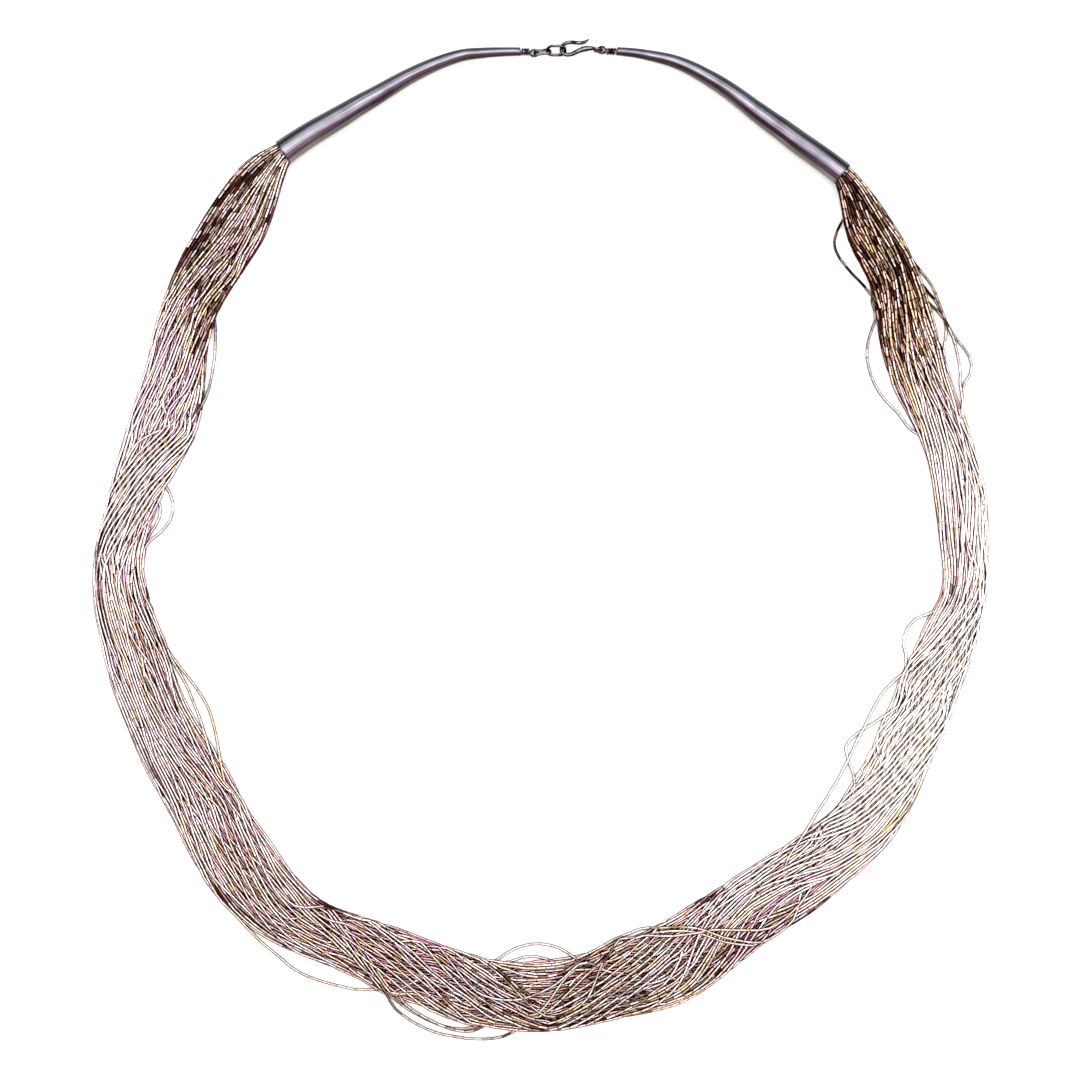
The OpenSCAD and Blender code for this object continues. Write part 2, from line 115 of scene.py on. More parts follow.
# Strands that leave the bundle or cross it: the CAD model's loose strand that each stands for, if
# any, whether it lies on top, and its route.
STRAY_ROUTES = [
    ("left_upper", False, [(-99.5, 72), (-97.6, 68.5), (-97, 64.5), (-97.2, 60), (-97.5, 55),
        (-98.4, 50), (-99.6, 45), (-101.5, 41), (-104, 37)]),
    ("left_knot", False, [(-115, 21), (-111.8, 17.4), (-110, 13.5), (-109.9, 10), (-110.8, 7),
        (-113, 4.3), (-115.6, 2), (-118.5, 0)]),
    ("left_lower", False, [(-113, -29), (-109.2, -34.8), (-104.5, -40.8), (-100.5, -46.5), (-98.2, -52),
        (-96.7, -58.5), (-95.5, -65), (-94.5, -71)]),
    ("bottom_left", False, [(-91.5, -110.5), (-87.5, -115), (-82.9, -119.6), (-77.8, -123.7),
        (-73.4, -127.4), (-66.9, -130.4), (-59.6, -132.4), (-54, -133.6), (-50, -133)]),
    ("bottom_outer", False, [(-48.5, -129.5), (-45.8, -134.5), (-43.4, -139), (-38, -143), (-32, -146),
        (-25.5, -147.5), (-19, -148.2), (-13, -148), (-8, -146.3), (-3.5, -142), (0, -137.5)]),
    ("bottom_second", False, [(-42.8, -133.5), (-41, -137), (-37.5, -139.8), (-33, -142.3),
        (-28.5, -144.4), (-23.5, -145.8), (-19.5, -145.8), (-15.5, -143.5), (-12, -139.5)]),
    ("bottom_inner", False, [(-14.5, -126), (-10, -122.5), (-5.4, -120.4), (-0.5, -119.6),
        (4.5, -120.4), (9, -122.6), (14, -126.5)]),
    ("right_crossing", True, [(132, -21.6), (126.5, -26), (118, -31.7), (112.2, -36.2), (107.4, -39.8),
        (102.8, -44.6), (99.9, -49.6), (97, -55.4), (94.1, -61.2), (91.2, -67.2), (87.6, -73.6),
        (83.3, -80.2), (80, -85.5), (76, -91.5)]),
    ("right_kinked", True, [(107.5, -48.5), (104, -50.8), (100.5, -53.4), (97, -55.5), (94.6, -57.2),
        (92.3, -59.2), (91.5, -61), (92.2, -63.5), (93.2, -66.5), (94.5, -70), (94.5, -74)]),
    ("right_bulge", False, [(121, -18.8), (117.5, -20.4), (112.4, -22.4), (109.9, -25.9), (109, -30),
        (110.4, -34.2)]),
    ("right_upper", False, [(94, 101), (90.4, 97.2), (88.2, 91.8), (89.2, 87.2), (93, 82.1),
        (97.2, 77.7), (100.5, 73.6), (103.5, 69.5)]),
    ("right_inner", False, [(101.5, 68.5), (99.6, 64.5), (98.3, 59.7), (98.3, 55.5), (100, 49.2),
        (103.3, 43.8), (108.5, 38.5)]),
    ("right_outer", False, [(112, 82), (115.8, 76.6), (119, 72.9), (121.7, 67.3), (124, 63),
        (127.4, 58.9), (129.7, 54.5), (129.2, 50.6), (126.4, 47.9)]),
    # Thinner company of those loops, which the solids leave out.
    ("", False, [(-115.5, 16), (-113.4, 11.1), (-114, 7.8), (-115.8, 4.5), (-118, 2)]),
    ("", False, [(-111, -33), (-106.2, -41.5), (-103.4, -48), (-101, -54.5), (-98.6, -62),
        (-96.5, -69)]),
    ("", False, [(-44.5, -135), (-40.5, -138.6), (-36, -141.2), (-31, -143.6), (-26, -145),
        (-21, -145.2), (-17, -142.9)]),
    ("", False, [(-10, -125.6), (-6.6, -124.2), (-1.8, -123.3), (4.8, -125.1), (9, -127.5)]),
    ("", False, [(112.4, 84.5), (114, 82.5), (117.9, 77.4), (119.1, 74.1), (121, 69)]),
    ("", False, [(121, 68), (124.2, 61.5), (125.4, 57), (126.3, 51.3), (125.9, 47.7)]),
    # The fold across the bottom right, and single strands that cross over the bottom.
    ("", True, [(75, -113.6), (71, -116.8), (66.3, -119.1), (60, -118.5), (55.2, -117.6),
        (51.6, -116.1), (48, -114.9), (42, -114.4), (36, -114.8), (31.2, -114.9), (25.8, -117.1)]),
    ("", True, [(65, -120.1), (59.3, -119.6), (54.4, -118.7), (50.6, -117.2), (46.8, -116),
        (41, -115.6), (34, -116.2)]),
    ("", True, [(76, -109.5), (72, -113.2), (67.2, -115.2), (58.8, -115.4), (52, -115.3), (45, -116.6),
        (39, -117.2), (31, -116.8)]),
    ("", True, [(13.2, -124.8), (11, -125.9), (7.8, -129.2), (4.5, -131.9), (0.3, -134.1),
        (-4.6, -135.9), (-10, -136.3), (-15.4, -135.4), (-19.2, -133.5), (-24.6, -127.5), (-30, -120)]),
    ("", True, [(23.4, -117.9), (21, -122.7), (18.6, -125.4), (17, -130.2), (15.3, -134.6),
        (12.6, -137.7), (8.9, -140), (4.5, -141.6)]),
    ("", True, [(10.5, -127), (7.8, -129.7), (5.1, -133.5), (2.4, -137.3), (-1.4, -141.6)]),
    ("", True, [(18.6, -124.8), (13.2, -129.7), (7.8, -135.1), (3.5, -138.9), (-0.9, -142.1)]),
]


def linear(hex_text):
    """The linear colour of an sRGB hex value."""
    shares = [int(hex_text[i:i + 2], 16) / 255 for i in (1, 3, 5)]
    return [s / 12.92 if s <= 0.04045 else ((s + 0.055) / 1.055) ** 2.4 for s in shares] + [1.0]


def add_node(tree, kind, values=None):
    """Adds a shader node and gives its outputs. Each value goes to the setting or the socket of that
    name or number, and another node's output is linked to it. A ramp's steps are places and colours."""
    node = tree.nodes.new("ShaderNode" + kind)
    for name, value in (values or {}).items():
        if name == "steps":
            stops = node.color_ramp.elements
            while len(stops) < len(value):
                stops.new(0.5)
            for stop, (place, colour) in zip(stops, value):
                stop.position = place
                stop.color = linear(colour) if isinstance(colour, str) else [*colour, 1]
        elif isinstance(value, bpy.types.NodeSocket):
            tree.links.new(value, node.inputs[name])
        elif isinstance(name, int) or name in node.inputs:
            node.inputs[name].default_value = value
        else:
            setattr(node, name, value)
    return node.outputs


def new_material(name, roughness, metallic=1.0, patterns=()):
    """A material's tree and its shader, and an uneven pattern for each row of real spot size in mm
    and detail."""
    material = bpy.data.materials.new(name)
    material.use_nodes = True
    tree = material.node_tree
    shader = tree.nodes["Principled BSDF"]
    shader.inputs["Metallic"].default_value = metallic
    shader.inputs["Roughness"].default_value = roughness
    place = add_node(tree, "TexCoord")["Object"] if patterns else None
    uneven = [add_node(tree, "TexNoise", {"Vector": place, "Scale": 1 / (spot * MM), "Detail": detail})
              for spot, detail in patterns]
    return material, tree, shader, *(outputs["Fac"] for outputs in uneven)


def finish_silver(tree, shader, colour, tints, dents):
    """Colours the shader through tints, each with its share, and dents it by patterns, each with its
    strength and depth in mm."""
    for tint, share in tints:
        colour = add_node(tree, "Mix", {
            "data_type": "RGBA", "blend_type": "MULTIPLY", 0: share, 6: colour, 7: tint})[2]
    tree.links.new(colour, shader.inputs["Base Color"])
    normal = {}
    for pattern, strength, depth in dents:
        bump = {"Height": pattern, "Strength": strength, "Distance": depth * MM}
        normal = {"Normal": add_node(tree, "Bump", {**bump, **normal})["Normal"]}
    tree.links.new(normal["Normal"], shader.inputs["Normal"])


def tint_by_facing(tree, axis, steps):
    """A tint for how far the surface faces along an axis, from 0 for its back to 1 for its front: it
    paints shade and highlights by facing.
    """
    normal = add_node(tree, "NewGeometry")["Normal"]
    facing = add_node(tree, "SeparateXYZ", {"Vector": normal})[axis]
    share = add_node(tree, "MapRange", {"From Min": -1.0, "Value": facing})[0]
    return add_node(tree, "ValToRGB", {"Fac": share, "steps": steps})["Color"]


# Curves and meshes


def curve_through(points, pieces):
    """A smooth curve through the points, with this many pieces between each two."""
    points = np.asarray(points, float)
    before = np.vstack([points[:1], points[:-2]])
    after = np.vstack([points[2:], points[-1:]])
    a, b = points[:-1], points[1:]
    t = (np.arange(pieces) / pieces)[None, :, None]
    p0, p1, p2, p3 = (p[:, None, :] for p in (before, a, b, after))
    curve = 0.5 * (2 * p1 + (p2 - p0) * t + (2 * p0 - 5 * p1 + 4 * p2 - p3) * t ** 2
                   + (3 * p1 - p0 - 3 * p2 + p3) * t ** 3)
    return np.vstack([curve.reshape(-1, points.shape[1]), points[-1:]])


def smooth_table(at, keys, values):
    """Values between a table's rows, on a smooth curve through them."""
    fine = curve_through(np.column_stack([keys, values]), 8)
    return np.interp(at, fine[:, 0], fine[:, 1])


def eased(share):
    """A share from 0 to 1 that starts and ends slowly."""
    share = np.clip(share, 0, 1)
    return share * share * (3 - 2 * share)


def unit(vectors):
    """The vectors' directions."""
    return vectors / np.linalg.norm(vectors, axis=-1, keepdims=True)


def turns(sides, start=0):
    """Angles evenly round a circle, from this share of a step."""
    return 2 * np.pi * (np.arange(sides) + start) / sides


def circles(first, second, turn):
    """Points at these turns of a circle of radius 1, in the plane of each pair of directions."""
    return np.cos(turn)[None, :, None] * first[:, None] + np.sin(turn)[None, :, None] * second[:, None]


def on_loop(angles, radius, height):
    """Points at an angle, a distance from the loop's middle and a height."""
    turn = np.radians(angles)
    height = np.broadcast_to(height, np.shape(radius))
    return np.stack([radius * np.sin(turn), radius * np.cos(turn), height], -1) + MIDDLE


def from_middle(x, y):
    """The angle and distance of places measured from the loop's middle."""
    return np.degrees(np.arctan2(x, y)) % 360, np.hypot(x, y)


def new_object(name, vertices_mm, faces, material, colours=None, creases=None):
    """A smooth-shaded mesh object. faces is a list of arrays, each with rows of corner numbers.
    An edge is sharp where both its ends have the same crease number, and it isn't 0."""
    mesh = bpy.data.meshes.new(name)
    mesh.vertices.add(len(vertices_mm))
    mesh.vertices.foreach_set("co", (np.asarray(vertices_mm) * MM).ravel())
    corners = np.concatenate([f.ravel() for f in faces])
    counts = np.concatenate([np.full(len(f), f.shape[1]) for f in faces])
    mesh.loops.add(len(corners))
    mesh.loops.foreach_set("vertex_index", corners)
    mesh.polygons.add(len(counts))
    mesh.polygons.foreach_set("loop_start", np.concatenate([[0], np.cumsum(counts)[:-1]]))
    mesh.polygons.foreach_set("loop_total", counts)
    mesh.polygons.foreach_set("use_smooth", np.ones(len(counts), bool))
    if colours is not None:
        layer = mesh.color_attributes.new("tone", "BYTE_COLOR", "POINT")
        layer.data.foreach_set("color", np.asarray(colours, float).ravel())
    mesh.update(calc_edges=True)
    if creases is not None:
        ends = np.empty(len(mesh.edges) * 2, int)
        mesh.edges.foreach_get("vertices", ends)
        first, second = creases[ends.reshape(-1, 2)].T
        mesh.edges.foreach_set("use_edge_sharp", (first == second) & (first > 0))
    if mesh.validate():
        raise RuntimeError(name + " has a broken mesh")
    mesh.materials.append(material)
    made = bpy.data.objects.new(name, mesh)
    bpy.context.collection.objects.link(made)
    return made


def ring_faces(rings, sides, closed):
    """Quads between rings of corners, and the two end caps of an open row of rings."""
    count = rings if closed else rings - 1
    i = np.arange(count)[:, None]
    k = np.arange(sides)[None, :]
    after = (i + 1) % rings
    turn = (k + 1) % sides
    quads = np.stack([i * sides + k, i * sides + turn, after * sides + turn, after * sides + k], -1)
    faces = [quads.reshape(-1, 4)]
    if not closed:
        caps = np.array([np.arange(sides)[::-1], (rings - 1) * sides + np.arange(sides)])
        faces.append(caps)
    return faces


def sections_of(node):
    """A CAD node's sections round the loop: angle, inner and outer edge, lowest and highest point."""
    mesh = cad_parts[node].data
    points = np.empty(len(mesh.vertices) * 3)
    mesh.vertices.foreach_get("co", points)
    x, y, z = (points.reshape(-1, 3) / MM - MIDDLE).T
    angle, radius = from_middle(x, y)
    order = np.argsort(angle)
    cuts = np.flatnonzero(np.diff(angle[order]) > 0.3) + 1
    rows = [(angle[g].mean(), radius[g].min(), radius[g].max(), z[g].min(), z[g].max())
            for g in np.split(order, cuts)]
    return np.array(rows).T


def placed(piece, slot, *nodes):
    """Rides on the one body, and hides the CAD nodes that it stands for. The slot is not used."""
    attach(piece, "root")
    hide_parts(*nodes)


def wire_piece(name, node, path, radii, sides, closed, material, tone):
    """A round wire along a path, one ring for each point, without twist, in place of its CAD node."""
    path = np.asarray(path, float) + MIDDLE
    if closed:
        along = unit(np.roll(path, -1, 0) - np.roll(path, 1, 0))
    else:
        along = unit(np.gradient(path, axis=0))
    across = np.empty_like(path)
    side = np.cross(along[0], [0.3, 0.2, 0.93])
    for i, t in enumerate(along):
        across[i] = side = unit(side - t * side.dot(t))
    radii = np.broadcast_to(radii, len(path))[:, None, None]
    corners = path[:, None] + radii * circles(across, np.cross(along, across), turns(sides))
    faces = ring_faces(len(path), sides, closed)
    tones = np.tile(tone, (len(path) * sides, 1))
    placed(new_object(name, corners.reshape(-1, 3), faces, material, tones), "clasp_silver", node)


def a_length(name, description, mm):
    """A length among the settings."""
    return bpy.props.FloatProperty(
        name=name, description=description, default=mm * MM, unit="LENGTH", precision=5)


def a_colour(name, description, hex_text):
    """A colour among the settings."""
    return bpy.props.FloatVectorProperty(
        name=name, description=description, default=linear(hex_text)[:3], size=3, subtype="COLOR")


# Strands


def wander(random, angles, count, amplitude, shortest, longest):
    """Smooth random drift for each of count strands, in waves of these lengths."""
    drift = np.zeros((len(angles), count))
    for _ in range(4):
        wavelength = random.uniform(shortest, longest, count)
        phase = random.uniform(0, 2 * np.pi, count)
        drift += np.sin(2 * np.pi * angles[:, None] / wavelength + phase)
    return drift * amplitude / 2


def evened_out(values):
    """Each strand's place among the others, from 0 to 1, evenly shared out at every section and
    smoothed along the strand."""
    sections = 11
    shares = (values.argsort(1).argsort(1) + 0.5) / values.shape[1]
    kernel = np.hanning(sections + 2)[1:-1]
    kernel /= kernel.sum()
    padded = np.pad(shares, ((sections // 2, sections // 2), (0, 0)), mode="edge")
    return np.stack([np.convolve(places, kernel, "valid") for places in padded.T], 1)


def route_by_angle(route, angles):
    """A route's distance at each angle, and how far it rules its strand there."""
    angle, radius = from_middle(*curve_through(route, 6).T)
    if angle[0] > angle[-1]:
        angle, radius = angle[::-1], radius[::-1]
    angle = np.maximum.accumulate(angle)
    return np.interp(angles, angle, radius), rule_between(angles, angle[0], angle[-1], STRAY_BLEND)


def rule_between(angles, first, last, blend):
    """1 between two angles, easing to 0 on either side."""
    return eased((angles - first + blend) / blend) * eased((last + blend - angles) / blend)


def strand_routes(settings):
    """Where each strand runs before it settles: the angles, the bundle's outline there, each strand's
    distance and height, how hard it keeps to its distance, and the loose strands it stands for."""
    random = np.random.default_rng(SEED)
    count = settings.strand_count
    across = settings.bead_diameter / MM
    at, *edges = sections_of("strand_bundle")
    angles = np.arange(at[0], at[-1] + SECTION_ANGLE / 2, SECTION_ANGLE)
    outline = [smooth_table(angles, at, edge) for edge in edges]
    inner, outer, low, high = outline

    # The strands start evenly over a round section, and neighbours wander together in groups.
    number = np.arange(count)
    reach = np.sqrt((number + 0.5) / count)
    place = number * np.pi * (3 - math.sqrt(5))
    group = (np.argsort(np.argsort(place % (2 * np.pi))) * GROUPS) // count
    place = place + np.radians(smooth_table(angles, *zip(*TWIST_ROWS)))[:, None] * settings.twist
    sideways = reach * np.cos(place)
    upwards = reach * np.sin(place)
    sideways += wander(random, angles, GROUPS, 0.26, 28, 100)[:, group]
    upwards += wander(random, angles, GROUPS, 0.2, 35, 110)[:, group]
    sideways += wander(random, angles, count, 0.06, 22, 60)
    upwards += wander(random, angles, count, 0.05, 25, 70)
    first = inner + across / 2
    span = outer - inner - across
    target = first[:, None] + evened_out(sideways) * span[:, None]
    # They start stacked loosely, in nearly twice the bundle's depth.
    depth = 1.8 * np.maximum(high - low, 2.4)[:, None]
    height = low[:, None] + across / 2 + evened_out(upwards) * depth

    pull = np.full_like(target, BUNDLE_PULL)
    taken = np.zeros_like(target, bool)

    def guide(radius, rule, on_top, strength):
        """Sends the nearest free strand along a route, and gives its number."""
        ruled = rule > 0
        cost = (np.abs(target - radius[:, None]) * rule[:, None] ** 4).sum(0)
        chosen = int((cost + 1e6 * taken[ruled].any(0)).argmin())
        target[:, chosen] += (radius - target[:, chosen]) * rule
        if on_top:
            height[:, chosen] += (high + DROP - height[:, chosen]) * rule
        pull[:, chosen] = np.maximum(pull[:, chosen], np.where(rule > 0.35, strength, 0))
        taken[ruled, chosen] = True
        return chosen

    strays = {}
    for name, on_top, route in STRAY_ROUTES:
        chosen = guide(*route_by_angle(route, angles), on_top, STRAY_PULL)
        if name:
            strays.setdefault(chosen, []).append("loose_strand_" + name)
    for start, from_place, end, to_place, strands, spacing in CROSSING_ROWS:
        middle = from_place + (to_place - from_place) * (angles - start) / (end - start)
        rule = rule_between(angles, start, end, CROSSING_BLEND)
        for k in range(strands):
            aside = (k - (strands - 1) / 2) * spacing
            guide(first + np.clip(middle * span + aside, 0, span), rule, True, CROSSING_PULL)
    return angles, outline, target, height, pull, strays


def settle(settings, angles, outline, target, height, pull):
    """Lets the strands fall on the surface and on each other until they lie side by side. Gives where
    they lie, how covered they are, where they are strays and their places across the bundle."""
    across = settings.bead_diameter / MM
    inner, outer, low, high = (v[:, None] for v in outline)
    held = (angles < angles[0] + HELD_ANGLE) | (angles > angles[-1] - HELD_ANGLE)
    axis, mid_height, bore = (inner + outer) / 2, (low + high) / 2, (outer - inner) / 2 + 0.2
    radius, height = target.astype(np.float32), height.astype(np.float32)
    floor = np.where(held[:, None], 0, np.float32(across / 2))
    ruled = pull == STRAY_PULL
    shift = np.zeros_like(radius)
    # How far a round straightens strands, lets them fall, parts those that overlap and closes gaps,
    # the share by which strays give way, and the widest gap that stays, as a share of a bead.
    straighten, fall, part, close, stray_share, gap_share = 0.35, 0.05, 0.32, 0.35, 0.2, 0.7
    rounds = settings.settle_rounds
    for step in range(rounds):
        loose = 1 - step / rounds
        radius += pull * (target - radius)
        for values in (radius, height):
            values[1:-1] += straighten * ((values[2:] + values[:-2]) / 2 - values[1:-1])
        height -= fall * loose + 0.01
        slope = np.gradient(radius, axis=0) / (radius * math.radians(SECTION_ANGLE))
        slant = 1 / np.sqrt(1 + slope ** 2)
        aside = radius[:, :, None] - radius[:, None, :]
        aside *= (slant[:, :, None] + slant[:, None, :]) / 2
        above = height[:, :, None] - height[:, None, :]
        apart = np.sqrt(aside ** 2 + above ** 2) + 1e-4
        push = np.maximum(across - apart, 0) / apart * part
        radius += np.where(ruled, stray_share, 1) * (push * aside).sum(2)
        height += (push * above).sum(2)
        # Strands close up sideways where the surface would show between them.
        order = np.where(ruled, 1e3, radius).argsort(1)
        ranked = np.take_along_axis(radius, order, 1)
        gap = np.maximum(np.diff(ranked) - gap_share * across, 0)
        gap *= ~np.take_along_axis(ruled, order, 1)[:, 1:]
        shift[:] = 0
        shift[:, :-1] += gap
        shift[:, 1:] -= gap
        np.put_along_axis(radius, order, ranked + close * shift, 1)
        inside = np.clip(radius, inner + across / 2, outer - across / 2)
        radius = np.where(ruled, radius, inside)
        height = np.maximum(height, floor)
        off_x, off_z = (radius - axis)[held], (height - mid_height)[held]
        reach = np.maximum(np.hypot(off_x, off_z) / (bore - across / 2)[held], 1)
        radius[held] = axis[held] + off_x / reach
        height[held] = mid_height[held] + off_z / reach
    beside = np.clip(1.5 - np.abs(aside) / across, 0, 1)
    covered = (beside * np.clip(-above / across - 0.4, 0, 1)).sum(2).clip(0, 1)
    for _ in range(6):
        covered[1:-1] = (covered[2:] + 2 * covered[1:-1] + covered[:-2]) / 4
    return on_loop(angles[:, None], radius, height), covered, ruled, (radius - inner) / (outer - inner)


def string_beads(settings, random, path, *along_it):
    """The two ends of each bead on a string, with a slight lean of its own, and each of the values
    along the string at that bead."""
    steps = np.linalg.norm(np.diff(path, axis=0), axis=1)
    along = np.concatenate([[0], np.cumsum(steps)])
    length = settings.bead_length / MM
    pitch = length + settings.bead_gap / MM
    first = random.uniform(0.05, 1) * pitch
    starts = np.arange(first, along[-1] - pitch, pitch)
    length *= 1 + random.normal(0, 0.004, len(starts))
    ends = starts + length
    both = [np.stack([np.interp(s, along, path[:, i]) for i in range(3)], -1) for s in (starts, ends)]
    lean = settings.bead_lean / MM
    for end in both:
        end += random.uniform(-lean, lean, end.shape)
        end[:, 2] = np.maximum(end[:, 2], settings.bead_diameter / MM / 2)
    return *both, *(np.interp(starts, along, values) for values in along_it)


def bead_mesh(starts, ends, radius, sides):
    """Corners and faces of many tube beads with softly rounded ends, the crease that each corner is
    on, and each ring's place along its bead from 0 to 1."""
    along = unit(ends - starts)
    length = np.linalg.norm(ends - starts, axis=1)
    side = unit(np.cross(along, [0.0, 0.0, 1.0]))
    ring = circles(side, np.cross(along, side), turns(sides, 0.5))
    offsets = np.stack([0 * length, END_LENGTH + 0 * length, length - END_LENGTH, length], 1)
    radii = radius * np.array([END_SHARE, 1, 1, END_SHARE])
    corners = (starts[:, None, None] + offsets[:, :, None, None] * along[:, None, None]
               + radii[None, :, None, None] * ring[:, None])
    quads, caps = ring_faces(4, sides, False)
    first = (np.arange(len(starts)) * 4 * sides)[:, None, None]
    faces = [(quads + first).reshape(-1, 4), (caps + first).reshape(-1, sides)]
    # Each ring is a crease, so that a highlight runs straight along the tube between its ends.
    creases = np.repeat(np.arange(4 * len(starts)) + 1, sides)
    return corners.reshape(-1, 3), faces, creases, offsets / length[:, None]


def bead_material(settings):
    """Sterling silver tube, drawn and tumble-polished: narrow glints, with brown tarnish and painted
    brown shade between.
    """
    # Tumbling leaves fine unevenness, drawn here as coarse as it needs to show.
    material, tree, shader, tarnish, dimples = new_material(
        "polished_silver_tube_beads", 0.22, patterns=[(1.6, 3.0), (0.5, 2.0)])
    shader.inputs["Specular Tint"].default_value = linear("#7A6A72")
    bead = add_node(tree, "VertexColor", {"layer_name": "tone"})
    shade = add_node(tree, "ValToRGB", {
        "Fac": tarnish, "steps": [(0.36, "#8E706C"), (0.52, "#FFFFFF")]})
    # Painted shade: the sides of the lying strands are painted brown by how far they face away from
    # the lamps above, and their tops keep their colour. The tone's alpha says how much of this painted
    # shade a bead's sides get.
    sides = tint_by_facing(tree, "Z", [(0.62, "#441226"), (0.83, "#6C4254"), (0.955, "#FFFFFF")])
    # Tarnish gathers round the joints between the beads too.
    along = add_node(tree, "Attribute", {"attribute_name": "along"})
    joints = add_node(tree, "ValToRGB", {"Fac": along["Fac"], "steps": [
        (0, "#3A1A1E"), (JOINT_SHARE, "#FFFFFF"), (1 - JOINT_SHARE, "#FFFFFF"), (1, "#3A1A1E")]})
    finish_silver(tree, shader, bead["Color"], [
        (shade["Color"], settings.tarnish), (sides, bead["Alpha"]),
        (joints["Color"], 1.0)], [(dimples, 0.12, 0.02)])
    return material


def bead_colours(settings, random, starts, covered, alone, across_share):
    """A tone for each bead, which drifts along the string, and how clean its joints are. The tone's
    alpha is how much painted shade its sides get. Beads near the cones are the most tarnished, and
    beads under others get painted shade, darker and redder."""
    angle, radius = from_middle(*(starts - MIDDLE).T[:2])
    at, *edges = zip(*TARNISH_ROWS)
    inner, outer = (smooth_table(angle, at, edge) for edge in edges)
    tarnished = inner + (outer - inner) * np.clip(across_share, 0, 1)
    drifts = random.normal(0, 1, (len(starts), 4))
    own = drifts[:, 0].copy()
    # How much of its drift a bead shares with the one before it.
    kept = 0.9
    for i in range(1, len(starts)):
        drifts[i] = kept * drifts[i - 1] + math.sqrt(1 - kept ** 2) * drifts[i]
    dark, golden, lilac, sides = drifts.T
    at_row, radius_row, length_row, width_row = np.array(DARK_ROWS).T
    patch = np.exp(-((angle[:, None] - at_row) / length_row) ** 4
                   - ((radius[:, None] - radius_row) / width_row) ** 4).max(1)
    # The dark share holds tarnish, and painted shade for beads under others and in the dark patches.
    dark_share = eased(0.65 * tarnished ** 3 + 0.55 * covered * tarnished - 0.35 + 0.8 * patch
                       + tarnished ** 2 * (0.25 * dark + 0.2 * own))
    # The upper left, round this angle, has more violet tarnish and less yellow.
    violet = np.clip(np.cos(np.radians(angle - 300)), 0, 1)
    gold_share = eased((0.55 - 0.2 * violet) * tarnished ** 3 + 0.2 * golden + 0.18 * own)
    lilac_share = eased((0.1 + 0.3 * lilac) * np.clip(1.6 * tarnished, 0.3, 1) + 0.16 * violet)
    colours = np.array(settings.pale_bead)
    for share, tarnish in ((lilac_share, settings.lilac_bead), (gold_share, settings.gold_bead),
                           (dark_share, settings.dark_bead)):
        colours = colours + share[:, None] * (np.array(tarnish) - colours)
    colours *= 1 - (dark_share * np.clip(0.03 + 0.3 * own, -0.3, 0.6))[:, None]
    # Tarnish darkens the silver, and leaves more red in it than green and blue.
    colours *= 1.5 - tarnished[:, None] * [0.58, 0.67, 0.67]
    # Painted shade: beads under other strands are darker and redder.
    redness = np.clip(1.5 * tarnished, 0.15, 1.2) * (1 - 0.5 * gold_share)
    colours *= 1 - (covered * (0.15 + redness * [[0], [0.34], [0.22]])).T
    # Strands on their own are greyer.
    colours *= 1 - (alone * (0.05 + 0.3 * tarnished ** 6) * [[1.0], [0.88], [0.86]]).T
    # Painted shade on the sides grows with the tarnish, and is more under other strands, in the dark
    # patches, on strays and at the bundle's edges.
    at_edge = eased((np.abs(across_share - 0.5) - 0.38) / 0.1)
    painted_side_shade = (0.24 + 0.8 * tarnished + 0.1 * sides + 0.5 * covered + patch
                    + np.maximum(0.8 * alone, 0.5 * at_edge))
    joint = np.clip(2.5 * tarnished - 1.6, 0.05, 1) * random.uniform(0.4, 1.1, len(starts))
    tones = np.clip(np.column_stack([colours, painted_side_shade]), 0, 1)
    return tones, JOINT_SHARE * np.clip(1 - joint, 0, 1)


class StrandSettings(bpy.types.PropertyGroup):
    strand_count: bpy.props.IntProperty(
        name="Strands", description="Strings of beads between the cones", default=50, min=40, max=50)
    bead_length: a_length("Bead length", "Length of one tube bead", 2.86)
    bead_diameter: a_length("Bead diameter", "Outside of a tube bead", 0.88)
    bead_gap: a_length("Bead gap", "Slack between two beads on the thread", 0.03)
    bead_lean: a_length("Bead lean", "How far a bead's end strays from its thread", 0.05)
    bead_sides: bpy.props.IntProperty(
        name="Bead sides", description="Sides of a tube bead's mesh", default=8, min=6, max=10)
    twist: bpy.props.FloatProperty(
        name="Twist", description="Share of the bundle's turn about its own length", default=1.0)
    settle_rounds: bpy.props.IntProperty(
        name="Settling", description="Rounds in which the strands fall into place", default=200)
    tarnish: bpy.props.FloatProperty(
        name="Tarnish", description="Share of the tarnish on the beads", default=0.35, subtype="FACTOR")
    pale_bead: a_colour("Pale bead", "Clean silver with a warm tone", "#D8D7D2")
    lilac_bead: a_colour("Lilac bead", "Silver with a thin violet tarnish", "#CAB4C8")
    gold_bead: a_colour("Golden bead", "Silver with a yellow tarnish", "#D9C08F")
    dark_bead: a_colour("Dark bead", "Silver with a brown tarnish", "#50302A")


class NECKLACE_OT_strands(bpy.types.Operator):
    """Strings the beads and lets the strands settle between the cones"""

    bl_idname = "necklace.strands"
    bl_label = "String the strands"

    def execute(self, context):
        settings = context.scene.necklace_strands
        *routes, strays = strand_routes(settings)
        paths, *along_them = settle(settings, *routes)
        random = np.random.default_rng(SEED + 1)
        material = bead_material(settings)
        for i in range(settings.strand_count):
            starts, ends, *tarnishing = string_beads(
                settings, random, paths[:, i], *(values[:, i] for values in along_them))
            corners, faces, creases, along = bead_mesh(
                starts, ends, settings.bead_diameter / MM / 2, settings.bead_sides)
            colours, clean_joint = bead_colours(settings, random, starts, *tarnishing)
            colours = np.repeat(colours, 4 * settings.bead_sides, axis=0)
            strand = new_object("strand_%02d" % (i + 1), corners, faces, material, colours, creases)
            # Where a joint is clean, the place along the bead starts and ends nearer to its middle.
            margin = clean_joint[:, None]
            place = np.repeat(margin + (1 - 2 * margin) * along, settings.bead_sides)
            strand.data.attributes.new("along", "FLOAT", "POINT").data.foreach_set("value", place)
            placed(strand, "strand_silver", "strand_bundle", *strays.get(i, []))
        return {"FINISHED"}


# Cones


